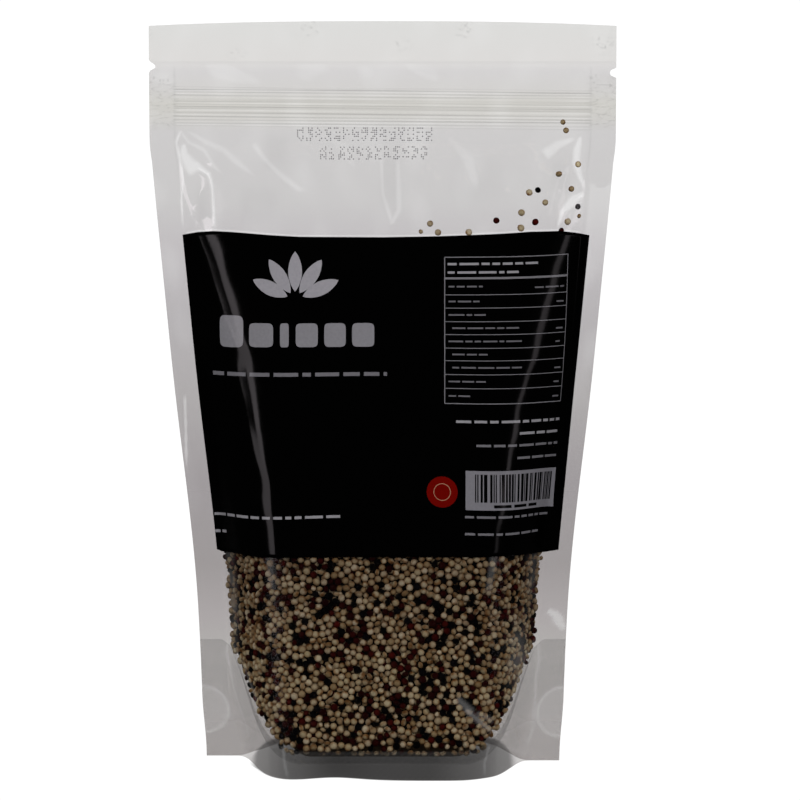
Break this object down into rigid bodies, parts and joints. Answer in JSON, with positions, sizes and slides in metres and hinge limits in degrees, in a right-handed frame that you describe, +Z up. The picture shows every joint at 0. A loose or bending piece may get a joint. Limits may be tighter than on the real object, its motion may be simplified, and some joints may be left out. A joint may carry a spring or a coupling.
{
  "type": "stand-up pouch of quinoa",
  "caption": "Clear stand-up pouch with sealed sides, zip strip, tear notches and a spread base, full of grain, with a plain black label.",
  "frame": {"origin": "on the floor under the middle of the pouch's base", "axes": "+Z up the pouch to its sealed top, +X across its front, -Y out of the labelled front"},
  "size_m": [0.148, 0.0592, 0.24],
  "materials": {
    "film": "clear glossy packing film over mixed cream, red and black grain",
    "label": "satin black printed label"
  },
  "bodies": {
    "root": {"pouch": "film", "label": "label"}
  },
  "joints": []
}
